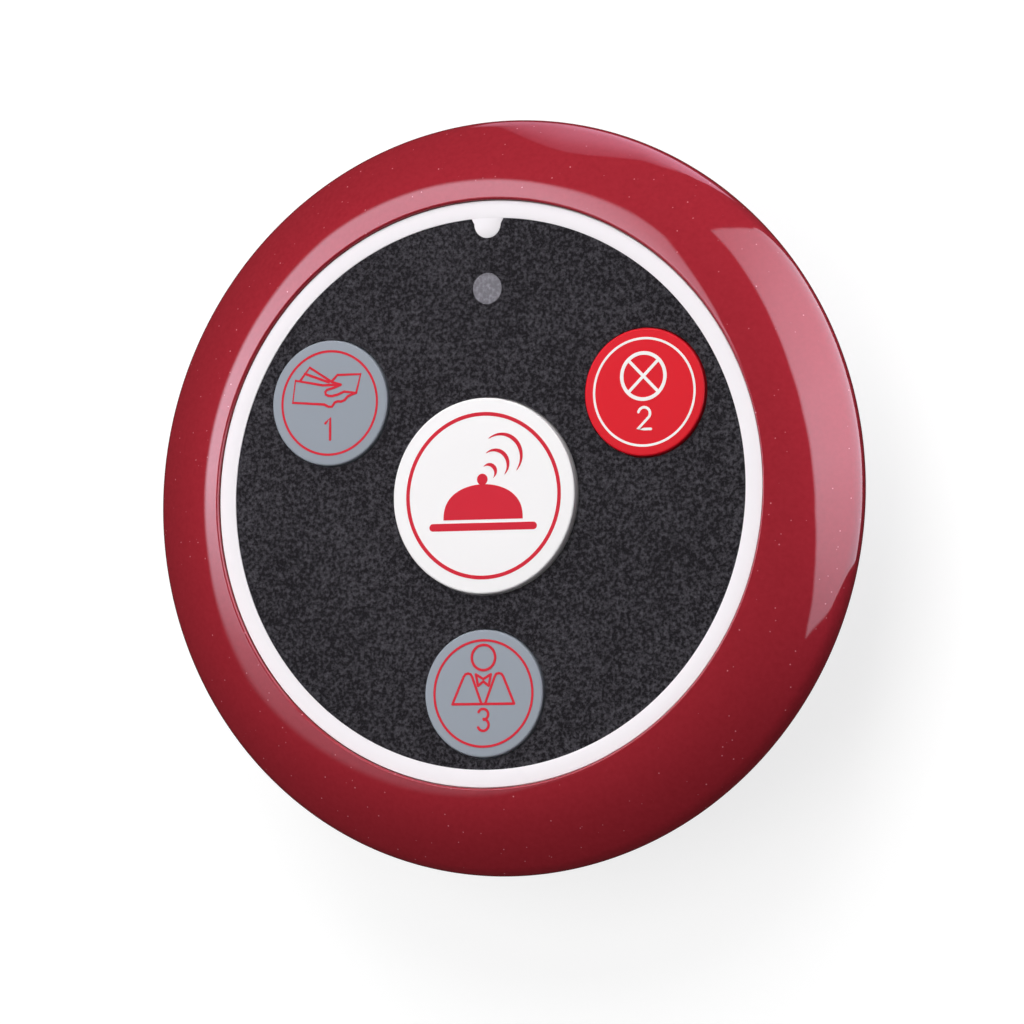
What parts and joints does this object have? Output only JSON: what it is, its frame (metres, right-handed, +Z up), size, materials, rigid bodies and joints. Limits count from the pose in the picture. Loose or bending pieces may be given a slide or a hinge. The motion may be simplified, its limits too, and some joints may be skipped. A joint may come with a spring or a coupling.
{
  "type": "waiter call button",
  "caption": "Round table-top call button: glossy domed red rim, thin white ring, grained black panel, a large white key and small round keys around it.",
  "frame": {"origin": "on the table plane, at the middle of the case", "axes": "+Z up out of the keys; +Y from the middle key towards the indicator window and the notch tab; +X towards the right of the panel"},
  "size_m": [0.08, 0.08, 0.0212],
  "materials": {
    "red_gloss": "metallic red lacquer, high gloss",
    "white_plastic": "smooth white moulding, semi-gloss",
    "base_plastic": "fine matt moulding grain",
    "panel_film": "grained black film",
    "window_film": "translucent grey, grained",
    "key_white": "satin white with printed marks",
    "key_grey": "satin blue-grey with printed marks",
    "key_red": "satin red with printed marks",
    "board": "green solder mask",
    "black_plastic": "moulded black",
    "tinned_steel": "tinned",
    "zinc_steel": "zinc plated",
    "copper": "tinned copper track",
    "ceramic": "fired ceramic with end caps",
    "led_body": "diffused red epoxy",
    "battery_sleeve": "shrink sleeve on a steel can",
    "foot_rubber": "soft rubber"
  },
  "bodies": {
    "case": {"base_shell": "base_plastic", "rim_shell": "red_gloss", "top_case": "white_plastic", "overlay_panel": "panel_film", "led_window": "window_film", "circuit_board": "board", "status_led": "led_body", "battery": "battery_sleeve", "positive_contact": "tinned_steel", "negative_contact": "tinned_steel", "antenna_track": "copper", "encoder_chip": "black_plastic", "saw_resonator": "tinned_steel", "switch_bases": "black_plastic", "switch_covers": "tinned_steel", "switch_terminals": "tinned_steel", "led_leads": "tinned_steel", "transistors": "black_plastic", "chip_passives": "ceramic", "foot_pads": "foot_rubber", "case_screws": "zinc_steel", "board_screws": "zinc_steel", "call_dome": "tinned_steel", "pay_dome": "tinned_steel", "cancel_dome": "tinned_steel", "order_dome": "tinned_steel"},
    "battery_door": {"battery_door": "base_plastic"},
    "call_key": {"call_button": "key_white", "call_plunger": "black_plastic"},
    "pay_key": {"pay_button": "key_grey", "pay_plunger": "black_plastic"},
    "cancel_key": {"cancel_button": "key_red", "cancel_plunger": "black_plastic"},
    "order_key": {"order_button": "key_grey", "order_plunger": "black_plastic"}
  },
  "joints": [
    {"name": "door_hinge", "type": "hinge", "parent": "case", "child": "battery_door", "pos_m": [-0.0147, 0, 0.0006], "axis": [0, 1, 0], "range_deg": [0, 75]},
    {"name": "call_press", "type": "slide", "parent": "case", "child": "call_key", "axis": [0, 0, -1], "range_m": [0, 0.0004], "stiffness_N_per_m": 4000, "deforming": ["call_dome"]},
    {"name": "pay_press", "type": "slide", "parent": "case", "child": "pay_key", "axis": [0, 0, -1], "range_m": [0, 0.0004], "stiffness_N_per_m": 4000, "deforming": ["pay_dome"]},
    {"name": "cancel_press", "type": "slide", "parent": "case", "child": "cancel_key", "axis": [0, 0, -1], "range_m": [0, 0.0004], "stiffness_N_per_m": 4000, "deforming": ["cancel_dome"]},
    {"name": "order_press", "type": "slide", "parent": "case", "child": "order_key", "axis": [0, 0, -1], "range_m": [0, 0.0004], "stiffness_N_per_m": 4000, "deforming": ["order_dome"]}
  ]
}
